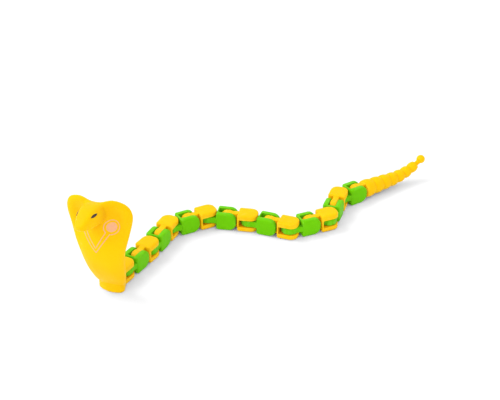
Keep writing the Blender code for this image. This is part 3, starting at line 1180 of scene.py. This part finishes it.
@dataclass(frozen=True)
class CobraHead:
    """Head, hood, foot block and fork in one moulding, with its print and its eyes."""

    axes: HeadAxes = HeadAxes()
    hood: Hood = Hood()
    snout: Snout = Snout()
    foot_block: FootBlock = FootBlock()
    fork: Fork = Fork()
    hood_print: HoodPrint = HoodPrint()
    eye: Eye = Eye()
    voxel: float = 0.42 * MM
    melts: int = 9
    root_forward: float = 20.5 * MM
    root_up: float = 48.5 * MM
    root_reach: float = 10.0 * MM
    root_melts: int = 40
    root_weight: float = 2.5

    def melt_root(self, body: Piece) -> None:
        """Melts the snout's root into the hood, less and less with distance from it."""
        root = self.axes.leaned(self.root_forward, 0.0, self.root_up)
        group = body.vertex_groups.new(name="snout_root")
        for vert in body.data.vertices:
            share = 1.0 - (vert.co - root).length / self.root_reach
            if share > 0.0:
                group.add([vert.index], min(1.0, self.root_weight * share), "REPLACE")
        apply_modifier(body, "SMOOTH", factor=0.5, iterations=self.root_melts, vertex_group=group.name)

    def moulding(self) -> Piece:
        """Hood, snout and foot block melted together and smoothed, then united with the crisp fork."""
        body = self.hood.build(self.axes)
        parts = [self.snout.build(self.axes), self.foot_block.build(self.axes)]
        deselect_all()
        for part in parts + [body]:
            part.select_set(True)
        bpy.context.view_layer.objects.active = body
        bpy.ops.object.join()
        apply_modifier(body, "REMESH", mode="VOXEL", voxel_size=self.voxel, adaptivity=0.0)
        apply_modifier(body, "SMOOTH", factor=0.5, iterations=self.melts)
        self.melt_root(body)
        combine(body, self.fork.build(0.0), "UNION")
        clean_up(body, 40)
        return body

    def build(self, plan: ChainPlan, paints: Paintbox) -> None:
        """Builds the head in place, with everything printed on it."""
        moulding = self.moulding()
        extras = [self.hood_print.build(moulding, self.hood, self.axes)]
        extras += [self.eye.build(moulding, self.axes, side) for side in (-1, 1)]
        paints.dress(settle(moulding, "cobra_head", plan.head(), "head"), HOOD_YELLOW)
        for extra in extras:
            extra.data.transform(plan.head())
            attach(extra, "head")
            ink = EYE_INK if extra.name.startswith("eye") else PEACH_INK
            paints.dress(extra, ink)
            LOG.info("%s: %d faces on head", extra.name, len(extra.data.polygons))
        bpy.data.objects.remove(moulding, do_unlink=True)


# ---------------------------------------------------------------- the tail


@dataclass(frozen=True)
class RibbedTail:
    """A tapering tail of bulging ribs that ends in a ball and curls up."""

    start: float = 5.3 * MM
    root_radius: float = 4.1 * MM
    ribs: int = 7
    first_rib: float = 5.95 * MM
    rib_shrink: float = 0.948
    groove: float = 0.125
    groove_growth: float = 0.018
    radius: float = 5.55 * MM
    taper: float = 0.068
    flat: float = 0.95
    lift_from: float = 21.5 * MM
    lift: float = 6.2 * MM
    lift_power: float = 2.5
    neck_radius: float = 1.25 * MM
    ball_radius: float = 2.35 * MM
    ball_at: float = 44.6 * MM
    ball_root: float = 0.92
    root_step: float = 0.25 * MM
    root_swell: float = 0.35 * MM
    rib_shares: tuple[float, ...] = (0.0, 0.06, 0.14, 0.26, 0.4, 0.55, 0.7, 0.82, 0.92, 0.97)
    bulge_power: float = 0.8
    neck_swell: tuple[float, ...] = (1.25, 1.02, 1.08)
    sides: int = 48
    tongue: Tongue = Tongue()

    def height(self, along: float) -> float:
        """Height of the centre line over the hinge."""
        share = max(0.0, (along - self.lift_from) / (self.ball_at - self.lift_from))
        return self.lift * share ** self.lift_power

    def stations(self) -> list[tuple[float, float]]:
        """Distance along and radius, down the ribs, the neck and the ball."""
        found = [(self.start, self.root_radius)]
        found.append((self.start + self.root_step, self.root_radius + self.root_swell))
        start, length = self.start, self.first_rib
        for rib in range(self.ribs):
            for share in self.rib_shares[2:] if rib == 0 else self.rib_shares:
                along = start + length * share
                bulge = math.sin(math.pi * share) ** self.bulge_power
                dip = (self.groove + self.groove_growth * rib) * (1 - bulge)
                found.append((along, (self.radius - self.taper * along) * (1 - dip)))
            start += length
            length *= self.rib_shrink
        ball_from = self.ball_at - self.ball_root * self.ball_radius
        for along, swell in zip((start, (start + ball_from) / 2, ball_from), self.neck_swell):
            found.append((along, swell * self.neck_radius))
        for angle in map(math.radians, range(140, 8, -12)):
            along = self.ball_at + self.ball_radius * math.cos(angle)
            found.append((along, self.ball_radius * math.sin(angle)))
        return found

    def build_straight(self) -> Piece:
        """The tail before it curls: a disc extruded and resized down the stations."""
        stations = self.stations()
        deselect_all()
        bpy.ops.mesh.primitive_circle_add(
            vertices=self.sides, radius=stations[0][1], fill_type="NGON",
            location=(stations[0][0], 0.0, 0.0), rotation=(0.0, math.radians(90), 0.0),
        )
        piece = named("tail")
        bpy.ops.object.transform_apply(location=True, rotation=True, scale=True)
        with editing(piece, "FACE"):
            bpy.ops.mesh.select_all(action="SELECT")
            for (before, was), (along, radius) in zip(stations, stations[1:]):
                grow = radius / was
                push((along - before, 0.0, 0.0), (1.0, grow, grow), (along, 0.0, 0.0))
            bpy.ops.mesh.select_all(action="SELECT")
            bpy.ops.mesh.normals_make_consistent(inside=False)
        return piece

    def curl(self, piece: Piece) -> None:
        """Flattens the ribs a little and lifts the end along the centre line."""
        for vert in piece.data.vertices:
            along, up = vert.co.x, vert.co.z * self.flat
            centre = self.ball_at if along > self.ball_at - self.ball_radius else along
            tilt = math.atan((self.height(centre + MM) - self.height(centre - MM)) / (2 * MM))
            past = along - centre
            forward = centre + past * math.cos(tilt) - up * math.sin(tilt)
            height = self.height(centre) + past * math.sin(tilt) + up * math.cos(tilt)
            vert.co = (forward, vert.co.y, height)

    def build(self, plan: ChainPlan, paints: Paintbox) -> None:
        """Builds the tail in place."""
        tail = self.build_straight()
        self.curl(tail)
        self.tongue.add_to(tail, self.start)
        clean_up(tail, 50)
        paints.dress(settle(tail, "ribbed_tail", plan.tail(), "tail"), YELLOW)
        bpy.data.objects.remove(tail, do_unlink=True)


# ---------------------------------------------------------------- the studio


@dataclass(frozen=True)
class Studio:
    """A pale floor, an even sky, a soft high light from behind and a weak one from the front."""

    floor_size: float = 6.0
    floor_tone: float = 0.92
    floor_cloud: float = 0.02
    sky: float = 1.0
    key_strength: float = 1.0
    key_from: Triple = (-0.75, 0.2, 0.85)
    key_spread: float = 30.0
    fill_strength: float = 0.4
    fill_from: Triple = (-0.5, -0.75, 0.4)
    fill_spread: float = 60.0

    def floor(self) -> None:
        """The floor, a little uneven in tone."""
        deselect_all()
        bpy.ops.mesh.primitive_plane_add(size=self.floor_size)
        piece = named("studio_floor")
        tones = (self.floor_tone, self.floor_tone + self.floor_cloud)
        darker, lighter = ((tone,) * 3 + (1.0,) for tone in tones)
        material, nodes, shader = start_material("floor_card", darker)
        cloud = nodes.ramp(nodes.noise(nodes.where(), scale=3.0, detail=2.0), low=0.3, high=0.7)
        tone = nodes.mix(cloud, darker, lighter)
        nodes.fill(shader, {"Base Color": tone, "Roughness": 0.85, "Specular IOR Level": 0.1})
        piece.data.materials.append(material)

    def light(self, name: str, source: Triple, strength: float, spread: float) -> None:
        """One distant soft light.

        Args:
            name: the light's name.
            source: the direction that it comes from.
            strength: watts for each square metre.
            spread: how wide it looks from the floor, in degrees, so how soft its shadows are.
        """
        lamp = bpy.data.lights.new(name, "SUN")
        lamp.energy = strength
        lamp.angle = math.radians(spread)
        stand(name, lamp, Vector(source), Vector(source))

    def world(self) -> None:
        """The even sky."""
        world = bpy.data.worlds.new("even_sky")
        bpy.context.scene.world = world
        world.use_nodes = True
        sky = world.node_tree.nodes["Background"]
        sky.inputs["Color"].default_value = (1.0, 1.0, 1.0, 1.0)
        sky.inputs["Strength"].default_value = self.sky

    def build(self) -> None:
        """Builds the whole studio."""
        self.floor()
        self.world()
        self.light("key_light", self.key_from, self.key_strength, self.key_spread)
        self.light("fill_light", self.fill_from, self.fill_strength, self.fill_spread)
        bpy.context.scene.view_settings.view_transform = "Standard"
        bpy.context.scene.view_settings.look = "None"
        LOG.info("studio ready")


@dataclass(frozen=True)
class Viewpoint:
    """The camera: where it looks, from how far and how high."""

    aim_from_neck: tuple[float, float] = (61.361 * MM, 73.934 * MM)
    distance: float = 0.7635
    elevation: float = 30.725
    lens: float = 103.0
    sensor: float = 36.0
    nearest: float = 0.01

    def build(self, plan: ChainPlan) -> None:
        """Sets the camera up, looking along +Y."""
        neck = plan.hinges["swing_1"]
        aim = Vector((neck.x + self.aim_from_neck[0], neck.y + self.aim_from_neck[1], 0.0))
        rise = math.radians(self.elevation)
        away = Vector((0.0, -math.cos(rise), math.sin(rise))) * self.distance
        camera = bpy.data.cameras.new("camera")
        camera.lens = self.lens
        camera.sensor_width = self.sensor
        camera.clip_start = self.nearest
        bpy.context.scene.camera = stand("camera", camera, aim + away, away)


def main() -> None:
    """Builds the cobra and its studio in order."""
    logging.basicConfig(level=logging.INFO, format="%(name)s: %(message)s")
    plan, paints = ChainPlan(), Paintbox()
    Viewpoint().build(plan)
    CobraHead().build(plan, paints)
    ClickLink().build(plan, paints)
    RibbedTail().build(plan, paints)
    Studio().build()


if __name__ == "__main__":
    main()
